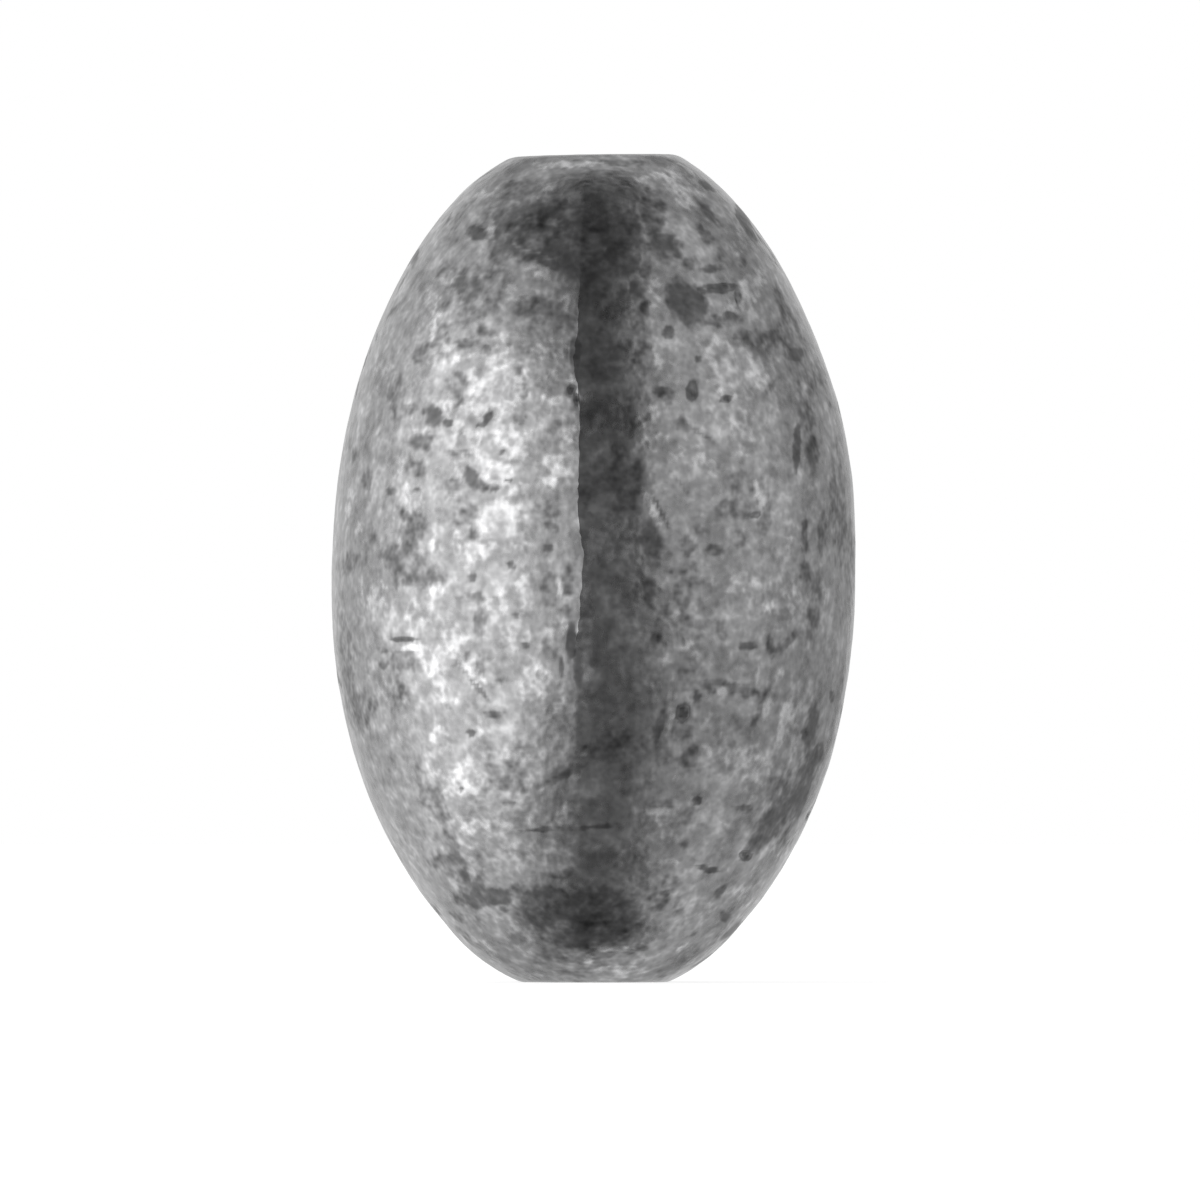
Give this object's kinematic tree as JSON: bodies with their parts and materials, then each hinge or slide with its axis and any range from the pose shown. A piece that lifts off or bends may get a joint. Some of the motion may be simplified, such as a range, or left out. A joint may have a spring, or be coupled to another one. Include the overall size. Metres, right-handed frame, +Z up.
{
  "type": "egg fishing sinker",
  "caption": "Egg-shaped cast lead fishing sinker with flat ends, a fine mould parting line and a brass-lined bore along its axis for the line to run through.",
  "frame": {"origin": "centre of the flat bottom end, on the bore's axis, where the sinker stands", "axes": "+Z up along the bore towards the wider flat end; the front, which the picture shows, faces -Y; the mould's parting plane holds Z and is turned 3.6 degrees from the front towards -X"},
  "size_m": [0.0144, 0.0147, 0.0229],
  "materials": {
    "cast_lead": "cast lead, dull mid grey, mottled, with a soft metallic sheen, fine pits and a sharp parting line",
    "liner_brass": "drawn brass tube, lightly tarnished, with bright worn lips"
  },
  "bodies": {
    "root": {"lead_body": "cast_lead", "bore_liner": "liner_brass"}
  },
  "joints": []
}
